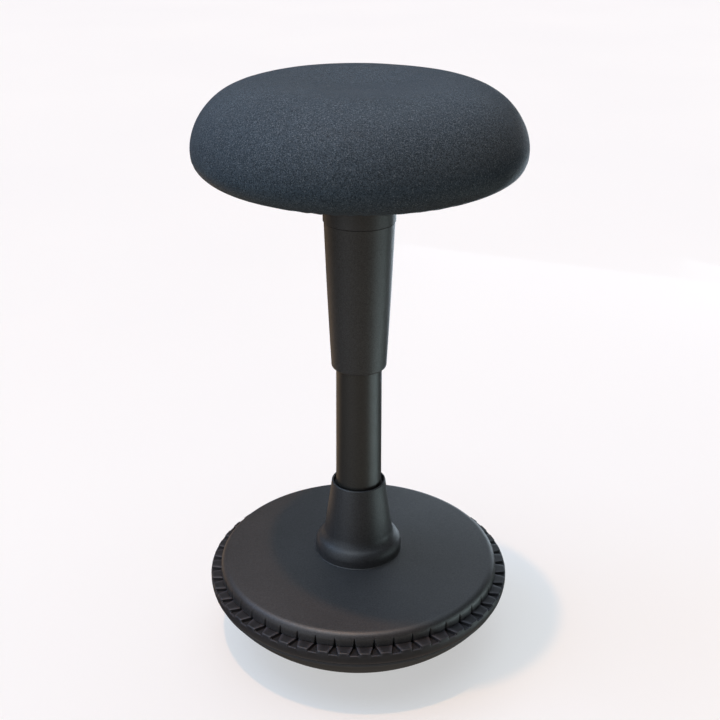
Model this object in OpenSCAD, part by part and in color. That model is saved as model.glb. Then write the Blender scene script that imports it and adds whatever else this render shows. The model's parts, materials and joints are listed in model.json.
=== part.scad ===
// Height-adjustable wobble stool: a round cushion on an upside-down gas lift,
// with a weighted base that rocks on its domed rubber foot.
// Millimetres, +Z up, the floor at z = 0 and the column's axis on the Z axis.

/* [Cushion] */
// Diameter of the cushion at its widest
seat_d = 344.6; // [330:0.2:356]
// Height of the cushion's widest ring above the floor
seat_z = 591; // [585:1:620]
// Height of the top above the widest ring
crown_h = 66.4; // [50:0.2:80]
// Depth of the underside below the widest ring
belly_h = 44.7; // [42:0.1:45]
// Depth of the dish in the middle of the top
dish_depth = 9; // [0:0.5:14]
// Radius where the dish runs out
dish_r = 112; // [80:1:125]
// Thickness of the knitted cover
cover_t = 2; // [1:0.25:2.5]

/* [Seat board and plate] */
// Radius of the plywood board
board_r = 130; // [122:1:132]
// Thickness of the plywood board
board_t = 12; // [9:0.5:15]
// Radius of the steel mounting plate
plate_r = 75; // [70:1:76]
// Radius of the circle of the four mounting bolts
bolt_circle_r = 60; // [54:1:62]

/* [Lift] */
// Radius of the column tube where it leaves the neck
tube_r = 26.1; // [25.5:0.1:26.2]
// How much the column tube narrows for each millimetre of height
tube_draft = 0.0048; // [0.003:0.0001:0.0055]
// Height of the top of the column tube
tube_top_z = 422; // [415:1:422]
// Outer radius of the pressure cylinder
cylinder_r = 14; // [13.5:0.1:14]
// Height of the bottom of the pressure cylinder at rest
cylinder_z = 160; // [158:1:170]
// Radius of the piston rod
rod_r = 5; // [4:0.5:5]
// Radial clearance of the parts that slide or turn in one another
run_gap = 0.07; // [0.02:0.01:0.1]

/* [Sleeve and collar] */
// Radius of the sleeve at its lower end
sleeve_low_r = 30.6; // [29.5:0.1:31]
// Radius of the sleeve at its upper end
sleeve_top_r = 37.7; // [36.5:0.1:38]
// Height of the sleeve's lower end at rest
sleeve_z = 343; // [340:1:350]
// Height of the seam between the sleeve and the collar
seam_z = 510; // [509:0.5:511]
// Radius of the collar
collar_r = 38.7; // [38.2:0.1:39]

/* [Release lever] */
// Distance of the lever's pin from the column's axis
lever_pin_y = 20; // [19:0.5:21]
// Height of the lever's pin
lever_pin_z = 547; // [546.8:0.1:547.4]
// Radius of the lever's rod
lever_rod_r = 4; // [3:0.25:4]
// Distance of the lever's outer end from the column's axis
lever_reach = 158; // [145:1:160]

/* [Base] */
// Radius of the tread ring at its rim
rim_r = 175.6; // [174:0.1:178]
// Number of notches round the rim
notch_count = 48; // [24:1:60]
// Angle of the first notch from the X axis
notch_phase = 6.2; // [0:0.1:15]
// Radius where each notch's point lies at the height of the ring's ledge
notch_apex_r = 158.3; // [158:0.1:160]
// Half-angle of each notch
notch_half_angle = 18.7; // [10:0.1:19]
// How far each notch's point leans outwards as it rises
notch_lean = 19.4; // [0:0.2:20]
// Radius of the flat in the middle of the foot
foot_flat_r = 45; // [35:1:50]
// Radius of the dome that the stool rocks on
dome_r = 400; // [380:5:440]
// Thickness of the rubber foot
foot_t = 8; // [5:0.5:9]
// Height of the neck's rim
neck_z = 197; // [190:1:200]
// Thickness of the base cover
shell_t = 2.6; // [2:0.1:3]

/* [Hidden] */
$fn = 96;
over = 1;                        // how far a cutting shape reaches past what it cuts
fit_gap = 0.03;                  // gap between pieces that are pressed or screwed together
face_gap = 0.1;                  // gap between faces that are clamped together
hole_gap = 0.3;                  // radial gap round the shank of a screw or bolt
groove_gap = 0.05;               // gap round a clip or seal in its groove

// Cushion
seat_r = seat_d / 2;
crown_power_r = 5.14;            // how square the crown's shoulder is, across
crown_power_z = 1.67;            // and in height
belly_power_r = 2.5;
belly_power_z = 3.03;
cover_hem_r = 96;                // where the cover's turned-under hem ends
hem_flat_r = 112;                // the hem lies flat on the board inside this
roll_r = 136;                    // and the underside has its own curve outside this
crown_flat_r = 132;              // inside this the crown is stepped by radius
foam_gap = 0.2;                  // gap between the foam and what it touches
foam_lip = 3;                    // width of the foam's edge below the board
crown_flat_angle = acos(pow(crown_flat_r / seat_r, crown_power_r / 2));

// Board and mounting plate
board_z = 560;
plate_t = 3.5;
plate_z = board_z - plate_t;
mount_bolt_count = 4;
bolt_angle = 45;
bolt_r = 3;
bolt_head_r = 5.2;
bolt_head_h = 3.3;
bolt_socket_r = 2.3;
bolt_socket_h = 2;
washer_r = 6.5;
washer_t = 1.2;
t_nut_flange_r = 9.5;
t_nut_flange_t = 1.2;
t_nut_barrel_r = 4.1;
t_nut_barrel_h = 9;
under_cover_t = 2.4;
under_cover_z = board_z - cover_t - under_cover_t - 2 * face_gap;
under_cover_in_r = 78;
under_cover_out_r = 108;
under_post_r = 5;
under_screw_circle_r = 88;
under_screw_count = 6;
under_screw_r = 1.6;
under_screw_head_r = 3.2;
under_screw_head_h = 1.6;
under_screw_depth = 8;           // how far the screws reach into the board
staple_circle_r = 102;
staple_count = 30;
staple_first = 6;                // angle of the first staple
staple_wire = 0.7;
staple_w = 8;
staple_leg = 8;
staple_groove_half = 3;          // half the width of the groove over the staples
staple_groove_h = 1.4;

// Column
tube_z = 40;
tube_bore_r = 23;
tube_taper_z = neck_z;           // the draft starts at the neck's rim
tube_lip_r = 21;
tube_lip_t = 2;
end_plate_t = 5;
end_plate_hole_r = 5.6;
bush_z = 340;
bush_flange_r = 24.5;
bush_flange_t = 3;

// Bearing and buffer at the foot of the rod
washer_in_z = tube_z + tube_lip_t + end_plate_t;
race_t = 1.5;
race_r = 16;
ball_r = 2.5;
ball_circle_r = 11.5;
ball_count = 12;
cage_half = 1;                   // half the cage's thickness
cage_out_r = 15.5;
cage_in_r = 7.5;
ball_z = washer_in_z + race_t + ball_r + groove_gap;
race_top_z = ball_z + ball_r + groove_gap;
buffer_h = 11;
buffer_r = 13;
clip_z = tube_z + 0.2;
clip_t = 1.4;
clip_in_r = 4.25;
clip_out_r = 8;
clip_slot = 5;                   // width of the clip's opening

// Rod and piston
rod_z = 34;
piston_z = 380;
piston_h = 16;
spigot_r = 3.5;
seal_in_r = 9.5;
seal_z = piston_z + 6;
seal_h = 4;

// Pressure cylinder
cylinder_bore_r = 11.5;
cylinder_top_z = 536;
crimp_r = 10.5;
crimp_t = 1.5;
rod_guide_z = cylinder_z + crimp_t + groove_gap;
rod_guide_h = 20;
rod_seal_h = 6;
valve_z = 496;
valve_bore_z = 508;
valve_pin_r = 3.5;
valve_pin_z = 512;
valve_pin_top_z = 544.1;

// Mechanism
socket_z = 507;
socket_r = 20;
mechanism_screw_angle = 30;      // angle of the first of the three screws that hold the sleeve
housing_z = 538;
housing_half = 24;
housing_wall = 2.5;
housing_hole_r = 12;
lever_pin_r = 3;
lever_hub_r = 6;
lever_hub_half = 18;
lever_hub_start = 3;             // the rod starts this far from the pin's centre
lever_nose_r = 2.5;
lever_nose_half = 5;
lever_nose_h = 4;
lever_nose_z = lever_pin_z - 0.25;
lever_bend = [44, 545.5];        // y and z of the bend
lever_end = [lever_reach - 8, 527]; // y and z of the rod's end, inside the grip
grip_start_y = 123;
grip_r = 6.6;
ball_blend = 0.12;               // how much a ball at a bar's end is bigger than the bar
lever_slope = atan((lever_end[1] - lever_bend[1]) / (lever_end[0] - lever_bend[0]));

// Sleeve and collar
sleeve_wall = 2.5;
sleeve_bow = 0.4;                // how far the sleeve's side bulges from a straight cone
sleeve_mouth_r = 26.6;
sleeve_flange_t = 2.5;
sleeve_flange_r = 21;
sleeve_corner_r = 2.5;
seam_chamfer = 0.6;              // edges of the seam between the sleeve and the collar
mouth_chamfer = 0.6;
collar_top_z = plate_z - 0.2;
collar_wall = 2.8;
collar_floor_t = 2.5;
collar_slot_half = 9;
collar_slot_z = 537;
collar_draft = 0.3;              // how much wider the collar is at its top
post_circle_r = 28;
post_count = 3;
post_r = 4.2;
sleeve_screw_r = 1.5;
sleeve_screw_head_r = 3;
sleeve_screw_head_h = 2.4;

// Foot
foot_r = 170;
dome_edge_angle = 13;            // slope where the dome meets the steeper flank
flank_top_angle = 57;
foot_lip_r = 171.5;
foot_lip_h = 3;
foot_top_z = 68.5;
foot_shelf_z = 62;
foot_shelf_r = 146;
foot_shelf_out_r = 152;
dome_start_angle = asin(foot_flat_r / dome_r);
dome_centre_z = dome_r * cos(dome_start_angle);
flank_r = (foot_r - dome_r * sin(dome_edge_angle)) / (sin(flank_top_angle) - sin(dome_edge_angle));
flank_centre = [(dome_r - flank_r) * sin(dome_edge_angle),
                dome_centre_z - (dome_r - flank_r) * cos(dome_edge_angle)];

// Base plate, weight and screws
base_plate_r = 151.5;
base_plate_t = 4;
weld_gap = 0.1;                  // stands for the weld seam between the base plate, hub and ribs
base_top_z = foot_shelf_z + base_plate_t;
weight_r = 110;
weight_in_r = 36;
weight_t = 9;
weight_bolt_circle_r = 75;
weight_bolt_count = 3;
weight_bolt_angle = 30;          // angle of the first bolt
weight_bolt_r = 4;
weight_bolt_head_h = 5;
weight_bolt_end = 2;             // how far a bolt stands out of its nut
weight_nut_h = 6;
weight_hex_r = 7.5;              // across the corners, from the middle
foot_screw_circle_r = 120;
foot_screw_count = 6;
foot_screw_angle = 15;
foot_screw_r = 2.5;
foot_screw_head_r = 5;
foot_screw_head_h = 3.5;
foot_screw_socket_r = 2;
foot_screw_socket_h = 2.5;
foot_screw_z = 80;               // height of the screws' tips
foot_post_r = 9;
foot_post_z = 24;                // the post is buried in the foot's wall from here
foot_sink_r = 6;
foot_sink_z = 30;
cover_post_r = 6.5;
cover_post_z = 100.6;
cover_post_hole_z = 84;

// Hub
hub_z = 46;
hub_h = 66;
hub_r = 33;
rib_count = 4;
rib_first = 45;
rib_reach = 60;
rib_half = 2;
rib_toe_h = 6;                   // height of a rib's outer end
rib_drop = 12;                   // how far the ribs end below the hub's top

// Tread ring
ring_z = 68.6;
ring_in_r = 150;
ring_groove_r = 171;
ring_foot_z = 70.5;
ring_foot_in = 1.4;              // how far the ring's foot is set in from the rim
rim_z = 77.5;
ledge_z = 85;
land_corner_r = 1;
land_edge_r = 174.8;
notch_lip_z = 82.4;              // the low lip that closes each notch outside
notch_lip_t = 1.8;
notch_floor_z = 80;
notch_out_r = 180;
notch_cut_h = 30;
notch_reach = 30;                // length of a notch's wedge

// Base cover: the neck's cone, its foot flange, the disc and the rounded shoulder
neck_top_r = 31.1;
neck_angle = 7.9;
flange_round_r = 15.6;
flange_fillet_r = 18.3;            // its arc meets the neck's cone at a tangent
flange_slope = 42;
flange_out_r = 50.6;
flange_mid_z = 113.4;
disc_blend_r = 2;
disc_slope = 3.7;
disc_in_z = 106.8;
shoulder_r = 9;
shoulder_out_r = 163.2;
shoulder_z = 91.3;
wall_foot_r = 163.5;
wall_t = 6;
rim_round = shell_t / 2 - 0.1;   // rounding of the neck's rim
neck_seal_drop = 4;              // the neck seal's top lies this far below the rim
neck_seal_h = 8;

// Points along an arc round c, from angle a0 to a1
function arc(c, r, a0, a1, n) =
    [for (i = [0:n]) let (a = a0 + (a1 - a0) * i / n) c + r * [cos(a), sin(a)]];

function reversed(list) = [for (i = [len(list) - 1:-1:0]) list[i]];

// Depth of the dish at radius r
function dish(r) = r < dish_r ? dish_depth * (1 + cos(180 * r / dish_r)) / 2 : 0;

// Height of the crown at radius r, on a skin g inside the outer surface
function crown_height(r, g) =
    seat_z - dish(r) + (crown_h - g) * pow(1 - pow(r / (seat_r - g), crown_power_r), 1 / crown_power_z);

function crown_outline(g) = concat(
    [for (r = [0:11:crown_flat_r]) [r, crown_height(r, g)]],
    [for (t = [crown_flat_angle - 5:-6.8:2])
        [(seat_r - g) * pow(cos(t), 2 / crown_power_r),
         seat_z + (crown_h - g) * pow(sin(t), 2 / crown_power_z)]],
    [[seat_r - g, seat_z]]);

// Height of the underside at radius r, on a skin g inside the outer surface
function belly_curve(r, g) =
    seat_z - (belly_h - g) * pow(1 - pow(r / (seat_r - g), belly_power_r), 1 / belly_power_z);

// A step from 0 to 1 that starts and ends level
function smooth(s) = let (c = max(0, min(1, s))) c * c * (3 - 2 * c);

// Height of the underside, rolled back up to the hem that lies flat on the board
function belly_height(r, g) =
    let (s = smooth((r - hem_flat_r) / (roll_r - hem_flat_r)))
        s * belly_curve(r, g) + (1 - s) * (board_z - cover_t - face_gap + g);

function belly_outline(g, end_r) = concat(
    [for (t = [4:7:40])
        let (r = (seat_r - g) * pow(cos(t), 2 / belly_power_r)) [r, belly_height(r, g)]],
    [for (r = [roll_r - 2:-4:max(end_r, hem_flat_r)]) [r, belly_height(r, g)]],
    [[end_r, belly_height(end_r, g)]]);

// Underside of the foot, on a surface t inside the outer one
function foot_outline(t) = concat(
    [for (i = [0:3]) let (a = dome_start_angle + (dome_edge_angle - dome_start_angle) * i / 3)
        [(dome_r - t) * sin(a), dome_centre_z - (dome_r - t) * cos(a)]],
    [for (i = [1:9]) let (a = dome_edge_angle + (flank_top_angle - dome_edge_angle) * i / 9)
        flank_centre + (flank_r - t) * [sin(a), -cos(a)]]);

// Outline of the base cover from the neck's rim to the shoulder, t inside its outer surface
flange_centre = [flange_out_r - flange_round_r, flange_mid_z];
fillet_centre = flange_centre
    + (flange_round_r + flange_fillet_r) * [sin(flange_slope), cos(flange_slope)];
disc_fillet_centre = [flange_out_r + disc_blend_r, disc_in_z + disc_blend_r];
shoulder_centre = [shoulder_out_r - shoulder_r, shoulder_z];
function cover_outline(t) = concat(
    [[neck_top_r - t, neck_z]],
    arc(fillet_centre, flange_fillet_r + t, 180 + neck_angle, 270 - flange_slope, 6),
    arc(flange_centre, flange_round_r - t, 90 - flange_slope, 0, 6),
    arc(disc_fillet_centre, disc_blend_r + t, 180, 270 - disc_slope, 5),
    arc(shoulder_centre, shoulder_r - t, 90 - disc_slope, 0, 8));

// Copies of the children on a circle
module ring_of(count, r, first = 0) {
    for (i = [0:count - 1])
        rotate(first + 360 * i / count) translate([r, 0, 0]) children();
}

module tube(out_r, in_r, h, z = 0) {
    translate([0, 0, z]) difference() {
        cylinder(r = out_r, h = h);
        translate([0, 0, -over]) cylinder(r = in_r, h = h + 2 * over);
    }
}

// Wedges that cut the notches: down to floor_z inside the lip, and down to lip_z through it
module notch_cutters(floor_z, lip_z) {
    half = notch_reach * tan(notch_half_angle);
    intersection() {
        for (i = [0:notch_count - 1])
            rotate(notch_phase + 360 * i / notch_count) translate([notch_apex_r, 0, ledge_z])
                rotate([0, notch_lean, 0]) translate([0, 0, -notch_cut_h]) linear_extrude(2 * notch_cut_h)
                    polygon([[0, 0], [notch_reach, -half], [notch_reach, half]]);
        union() {
            translate([0, 0, floor_z]) cylinder(r = rim_r - notch_lip_t, h = notch_cut_h);
            translate([0, 0, lip_z]) cylinder(r = notch_out_r, h = notch_cut_h);
        }
    }
}

// Three screws hold the sleeve, the collar and the lift housing together
module at_sleeve_screws() {
    ring_of(post_count, post_circle_r, mechanism_screw_angle) children();
}

module at_foot_screws() {
    ring_of(foot_screw_count, foot_screw_circle_r, foot_screw_angle) children();
}

module at_weight_bolts() {
    ring_of(weight_bolt_count, weight_bolt_circle_r, weight_bolt_angle) children();
}

module at_mount_bolts() {
    ring_of(mount_bolt_count, bolt_circle_r, bolt_angle) children();
}

// ---- Base ----

module rocker_foot() {
    color("#26272a") difference() {
        union() {
            rotate_extrude() polygon(concat(
                [[0, 0]], foot_outline(0),
                [[foot_lip_r, foot_top_z - foot_lip_h], [foot_lip_r, foot_top_z],
                 [foot_shelf_out_r, foot_top_z], [foot_shelf_out_r, foot_shelf_z],
                 [foot_shelf_r, foot_shelf_z]],
                reversed([for (p = foot_outline(foot_t)) if (p[0] < foot_shelf_r) p]),
                [[0, foot_t]]));
            at_foot_screws() translate([0, 0, foot_post_z])
                cylinder(r = foot_post_r, h = foot_shelf_z - 2 * face_gap - foot_post_z);
        }
        at_foot_screws() {
            cylinder(r = foot_sink_r, h = foot_sink_z);
            cylinder(r = foot_screw_r + hole_gap, h = foot_shelf_z + over);
        }
    }
}

module base_weight() {
    color("#3b3c3e") difference() {
        tube(weight_r, weight_in_r, weight_t, foot_shelf_z - weight_t);
        at_weight_bolts() cylinder(r = weight_bolt_r + hole_gap, h = foot_shelf_z + over);
    }
}

module weight_bolts() {
    head_z = foot_shelf_z - weight_t - weight_bolt_head_h;
    color("#8d9093") at_weight_bolts() translate([0, 0, head_z]) union() {
        cylinder(r = weight_hex_r, h = weight_bolt_head_h, $fn = 6);
        cylinder(r = weight_bolt_r, h = base_top_z + weight_nut_h + weight_bolt_end - head_z);
    }
}

module weight_nuts() {
    color("#9b9ea1") at_weight_bolts() translate([0, 0, base_top_z]) difference() {
        cylinder(r = weight_hex_r, h = weight_nut_h, $fn = 6);
        translate([0, 0, -over]) cylinder(r = weight_bolt_r + fit_gap, h = weight_nut_h + 2 * over);
    }
}

module base_plate() {
    color("#4a4c4f") difference() {
        tube(base_plate_r, hub_r + weld_gap, base_plate_t, foot_shelf_z);
        at_weight_bolts() cylinder(r = weight_bolt_r + hole_gap, h = base_top_z + over);
        at_foot_screws() cylinder(r = foot_screw_r + hole_gap, h = base_top_z + over);
    }
}

module hub_socket() {
    color("#4f5154") tube(hub_r, tube_r + fit_gap, hub_h, hub_z);
}

module hub_ribs() {
    color("#4f5154") for (i = [0:rib_count - 1])
        rotate(rib_first + 360 * i / rib_count) rotate([90, 0, 0]) translate([0, 0, -rib_half])
            linear_extrude(2 * rib_half)
                polygon([[hub_r + weld_gap, base_top_z], [rib_reach, base_top_z],
                         [rib_reach, base_top_z + rib_toe_h], [hub_r + weld_gap, hub_z + hub_h - rib_drop]]);
}

module tread_ring() {
    color("#232427") difference() {
        rotate_extrude() polygon(concat(
            [[ring_in_r, ring_z], [ring_groove_r, ring_z], [ring_groove_r, ring_foot_z],
             [rim_r - ring_foot_in, ring_foot_z], [rim_r, rim_z], [rim_r, notch_lip_z]],
            arc([land_edge_r - land_corner_r, ledge_z - land_corner_r], land_corner_r, 0, 90, 4),
            [[ring_in_r, ledge_z]]));
        notch_cutters(notch_floor_z, notch_lip_z);
    }
}

module base_cover() {
    outer = cover_outline(0);
    inner = [for (p = cover_outline(shell_t)) if (p[0] < shoulder_out_r - wall_t) p];
    color("#303134") difference() {
        union() {
            rotate_extrude() polygon(concat(
                arc([neck_top_r - shell_t / 2, neck_z], rim_round, 180, 0, 4),
                [for (i = [1:len(outer) - 1]) outer[i]],
                [[wall_foot_r, ledge_z + face_gap], [shoulder_out_r - wall_t, ledge_z + face_gap]],
                reversed([for (i = [1:len(inner) - 1]) inner[i]])));
            at_foot_screws() translate([0, 0, base_top_z + face_gap])
                cylinder(r = cover_post_r, h = cover_post_z - base_top_z - face_gap);
        }
        notch_cutters(ledge_z - over, ledge_z - over);
        at_foot_screws() cylinder(r = foot_screw_r + fit_gap, h = cover_post_hole_z);
    }
}

module foot_screws() {
    head_z = foot_sink_z - foot_screw_head_h - face_gap;
    color("#8d9093") at_foot_screws() translate([0, 0, head_z]) difference() {
        union() {
            cylinder(r = foot_screw_head_r, h = foot_screw_head_h);
            cylinder(r = foot_screw_r, h = foot_screw_z - head_z);
        }
        translate([0, 0, -over]) cylinder(r = foot_screw_socket_r, h = foot_screw_socket_h + over, $fn = 6);
    }
}

module neck_seal() {
    high = neck_z - neck_seal_drop;
    low = high - neck_seal_h;
    outer = neck_top_r - shell_t - face_gap;
    color("#141516") rotate_extrude()
        polygon([[tube_r + face_gap, low], [outer + (neck_z - low) * tan(neck_angle), low],
                 [outer + neck_seal_drop * tan(neck_angle), high], [tube_r + face_gap, high]]);
}

// ---- Column ----

module column_tube() {
    top_r = tube_r - tube_draft * (tube_top_z - tube_taper_z);
    color("#2b2c2e") rotate_extrude()
        polygon([[tube_lip_r, tube_z], [tube_r, tube_z], [tube_r, tube_taper_z],
                 [top_r, tube_top_z], [tube_bore_r, tube_top_z],
                 [tube_bore_r, tube_z + tube_lip_t], [tube_lip_r, tube_z + tube_lip_t]]);
}

module column_end_plate() {
    color("#7d8083")
        tube(tube_bore_r - groove_gap, end_plate_hole_r, end_plate_t, tube_z + tube_lip_t);
}

module guide_bush() {
    color("#d8d6cc") difference() {
        union() {
            translate([0, 0, bush_z]) cylinder(r = tube_bore_r - groove_gap, h = tube_top_z - bush_z);
            translate([0, 0, tube_top_z]) cylinder(r = bush_flange_r, h = bush_flange_t);
        }
        translate([0, 0, bush_z - over])
            cylinder(r = cylinder_r + run_gap, h = tube_top_z - bush_z + bush_flange_t + 2 * over);
    }
}

module bearing_lower_washer() {
    color("#a9acaf") tube(race_r, end_plate_hole_r, race_t, washer_in_z);
}

module bearing_balls() {
    color("#c3c6c9") ring_of(ball_count, ball_circle_r) translate([0, 0, ball_z]) sphere(r = ball_r);
}

module bearing_cage() {
    color("#b48a3c") difference() {
        tube(cage_out_r, cage_in_r, 2 * cage_half, ball_z - cage_half);
        ring_of(ball_count, ball_circle_r) translate([0, 0, ball_z - cage_half - over])
            cylinder(r = ball_r + face_gap, h = 2 * (cage_half + over));
    }
}

// ---- Piston rod and what turns with it ----

module bearing_upper_washer() {
    color("#a9acaf") tube(race_r, rod_r + fit_gap, race_t, race_top_z);
}

module travel_buffer() {
    color("#1d1e20") tube(buffer_r, rod_r + fit_gap, buffer_h, race_top_z + race_t);
}

module rod_clip() {
    color("#8d9093") difference() {
        tube(clip_out_r, clip_in_r, clip_t, clip_z);
        translate([0, -clip_slot / 2, clip_z - over]) cube([clip_out_r + over, clip_slot, clip_t + 2 * over]);
    }
}

module piston_rod() {
    color("#c9cccf") difference() {
        union() {
            translate([0, 0, rod_z]) cylinder(r = rod_r, h = piston_z - rod_z);
            translate([0, 0, piston_z]) cylinder(r = spigot_r, h = piston_h);
        }
        tube(rod_r + over, clip_in_r - groove_gap, clip_t + 2 * groove_gap, clip_z - groove_gap);
    }
}

module piston() {
    color("#c2a25a") difference() {
        tube(cylinder_bore_r - run_gap, spigot_r + fit_gap, piston_h, piston_z);
        tube(cylinder_bore_r + over, seal_in_r - groove_gap, seal_h + 2 * groove_gap, seal_z - groove_gap);
    }
}

module piston_seal() {
    color("#1a1a1b") tube(cylinder_bore_r - fit_gap, seal_in_r, seal_h, seal_z);
}

// ---- Pressure cylinder and valve ----

module pressure_cylinder() {
    color("#1f2022") rotate_extrude()
        polygon([[crimp_r, cylinder_z], [cylinder_r, cylinder_z], [cylinder_r, cylinder_top_z],
                 [cylinder_bore_r, cylinder_top_z], [cylinder_bore_r, cylinder_z + crimp_t],
                 [crimp_r, cylinder_z + crimp_t]]);
}

module rod_guide() {
    color("#b9bbbd") tube(cylinder_bore_r - groove_gap, rod_r + run_gap, rod_guide_h, rod_guide_z);
}

module rod_seal() {
    color("#1a1a1b")
        tube(cylinder_bore_r - groove_gap, rod_r + fit_gap, rod_seal_h, rod_guide_z + rod_guide_h + face_gap);
}

module valve_body() {
    color("#b9bbbd") difference() {
        translate([0, 0, valve_z]) cylinder(r = cylinder_bore_r - groove_gap, h = cylinder_top_z - valve_z);
        translate([0, 0, valve_bore_z]) cylinder(r = valve_pin_r + run_gap, h = cylinder_top_z);
    }
}

module valve_pin() {
    color("#d3d5d7") translate([0, 0, valve_pin_z])
        cylinder(r = valve_pin_r, h = valve_pin_top_z - valve_pin_z);
}

// ---- Release mechanism ----

module taper_socket() {
    color("#3a3c3f") tube(socket_r, cylinder_r + fit_gap, housing_z - socket_z - groove_gap, socket_z);
}

module lift_housing() {
    inner_half = housing_half - housing_wall;
    color("#3a3c3f") difference() {
        translate([-housing_half, -housing_half, housing_z])
            cube([2 * housing_half, 2 * housing_half, plate_z - housing_z - groove_gap]);
        translate([-inner_half, -housing_half - over, housing_z + housing_wall])
            cube([2 * inner_half, 2 * (housing_half + over), plate_z]);
        translate([0, 0, housing_z - over]) cylinder(r = housing_hole_r, h = housing_wall + 2 * over);
        lever_axle(lever_pin_r + fit_gap, housing_half + over);
        at_sleeve_screws() translate([0, 0, housing_z - over])
            cylinder(r = sleeve_screw_r + fit_gap, h = housing_wall + 2 * over);
    }
}

// A cylinder on the lever's axis
module lever_axle(r, half) {
    translate([-half, lever_pin_y, lever_pin_z]) rotate([0, 90, 0]) cylinder(r = r, h = 2 * half);
}

module lever_pin() {
    color("#a9acaf") lever_axle(lever_pin_r, housing_half + over);
}

// A round bar between two points in the plane x = 0, given as [y, z]
module lever_bar(p, q, r) {
    d = q - p;
    translate([0, p[0], p[1]]) rotate([-90 + atan2(d[1], d[0]), 0, 0]) cylinder(r = r, h = norm(d));
}

module release_lever() {
    start = [lever_pin_y + lever_hub_start, lever_pin_z];
    color("#2a2b2d") difference() {
        union() {
            lever_axle(lever_hub_r, lever_hub_half);
            translate([-lever_nose_half, 0, lever_nose_z - lever_nose_r + over])
                cube([2 * lever_nose_half, lever_pin_y - lever_pin_r, lever_nose_h]);
            translate([-lever_nose_half, 0, lever_nose_z]) rotate([0, 90, 0])
                cylinder(r = lever_nose_r, h = 2 * lever_nose_half);
            lever_bar(start, lever_bend, lever_rod_r);
            translate([0, lever_bend[0], lever_bend[1]]) sphere(r = lever_rod_r + ball_blend);
            lever_bar(lever_bend, lever_end, lever_rod_r);
        }
        lever_axle(lever_pin_r + run_gap, lever_hub_half + over);
    }
}

// Height of the lever's outer bar at distance y from the column's axis
function lever_height(y) = lever_bend[1] + (y - lever_bend[0]) * tan(lever_slope);

module lever_grip() {
    start = [grip_start_y, lever_height(grip_start_y)];
    tip = [lever_reach - grip_r, lever_height(lever_reach - grip_r)];
    bore_start = [grip_start_y - 10 * over, lever_height(grip_start_y - 10 * over)];
    bore_end = [lever_end[0] + hole_gap, lever_height(lever_end[0] + hole_gap)];
    color("#1c1d1f") difference() {
        union() {
            lever_bar(start, tip, grip_r);
            translate([0, tip[0], tip[1]]) sphere(r = grip_r + ball_blend);
        }
        lever_bar(bore_start, bore_end, lever_rod_r + fit_gap);
    }
}

// ---- Sleeve and collar ----

// Side of the sleeve from its lower corner to the seam's chamfer, t inside its outer surface
sleeve_side_z = sleeve_z + sleeve_corner_r;
sleeve_side_h = seam_z - face_gap - seam_chamfer - sleeve_side_z;
function sleeve_side(t) =
    [for (i = [0:6]) let (s = i / 6)
        [sleeve_low_r + (sleeve_top_r - sleeve_low_r) * s + 4 * sleeve_bow * s * (1 - s) - t,
         sleeve_side_z + sleeve_side_h * s]];

module upper_sleeve() {
    flange_z = seam_z - sleeve_flange_t;
    inner = [for (p = sleeve_side(sleeve_wall)) if (p[1] < flange_z - over) p];
    color("#2e2f31") difference() {
        rotate_extrude() polygon(concat(
            [[sleeve_mouth_r, sleeve_z + mouth_chamfer], [sleeve_mouth_r + mouth_chamfer, sleeve_z]],
            arc([sleeve_low_r - sleeve_corner_r, sleeve_side_z], sleeve_corner_r, -90, -15, 4),
            sleeve_side(0),
            [[sleeve_top_r - seam_chamfer, seam_z - face_gap], [sleeve_flange_r, seam_z - face_gap],
             [sleeve_flange_r, flange_z], [sleeve_top_r - sleeve_wall, flange_z]],
            reversed(inner),
            [[sleeve_mouth_r, sleeve_z + sleeve_corner_r]]));
        at_sleeve_screws() translate([0, 0, flange_z - over])
            cylinder(r = sleeve_screw_r + hole_gap, h = sleeve_flange_t + 2 * over);
    }
}

module sleeve_screws() {
    head_z = seam_z - sleeve_flange_t - sleeve_screw_head_h - face_gap;
    color("#8d9093") at_sleeve_screws() translate([0, 0, head_z]) union() {
        cylinder(r = sleeve_screw_head_r, h = sleeve_screw_head_h);
        cylinder(r = sleeve_screw_r, h = housing_z + housing_wall + over - head_z);
    }
}

module collar() {
    inner_r = collar_r - collar_wall;
    floor_z = seam_z + face_gap;
    color("#2e2f31") difference() {
        union() {
            rotate_extrude() polygon(
                [[sleeve_flange_r, floor_z], [collar_r - seam_chamfer, floor_z],
                 [collar_r, floor_z + seam_chamfer], [collar_r + collar_draft, collar_top_z],
                 [inner_r, collar_top_z], [inner_r, floor_z + collar_floor_t],
                 [sleeve_flange_r, floor_z + collar_floor_t]]);
            at_sleeve_screws() translate([0, 0, floor_z + over])
                cylinder(r = post_r, h = housing_z - face_gap - floor_z - over);
        }
        at_sleeve_screws() translate([0, 0, seam_z - over])
            cylinder(r = sleeve_screw_r + fit_gap, h = housing_z - seam_z + 2 * over);
        translate([-collar_slot_half, 0, collar_slot_z])
            cube([2 * collar_slot_half, 2 * collar_r, collar_top_z]);
    }
}

// ---- Seat ----

module mount_plate() {
    color("#3a3c3f") difference() {
        translate([0, 0, plate_z]) cylinder(r = plate_r, h = plate_t - groove_gap);
        at_mount_bolts() translate([0, 0, plate_z - over])
            cylinder(r = bolt_r + hole_gap, h = plate_t + 2 * over);
    }
}

module mount_bolts() {
    head_z = plate_z - washer_t - bolt_head_h;
    color("#9b9ea1") at_mount_bolts() translate([0, 0, head_z]) difference() {
        union() {
            cylinder(r = bolt_head_r, h = bolt_head_h);
            cylinder(r = bolt_r, h = board_z + t_nut_barrel_h - head_z);
        }
        translate([0, 0, -over]) cylinder(r = bolt_socket_r, h = bolt_socket_h + over, $fn = 6);
    }
}

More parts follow.
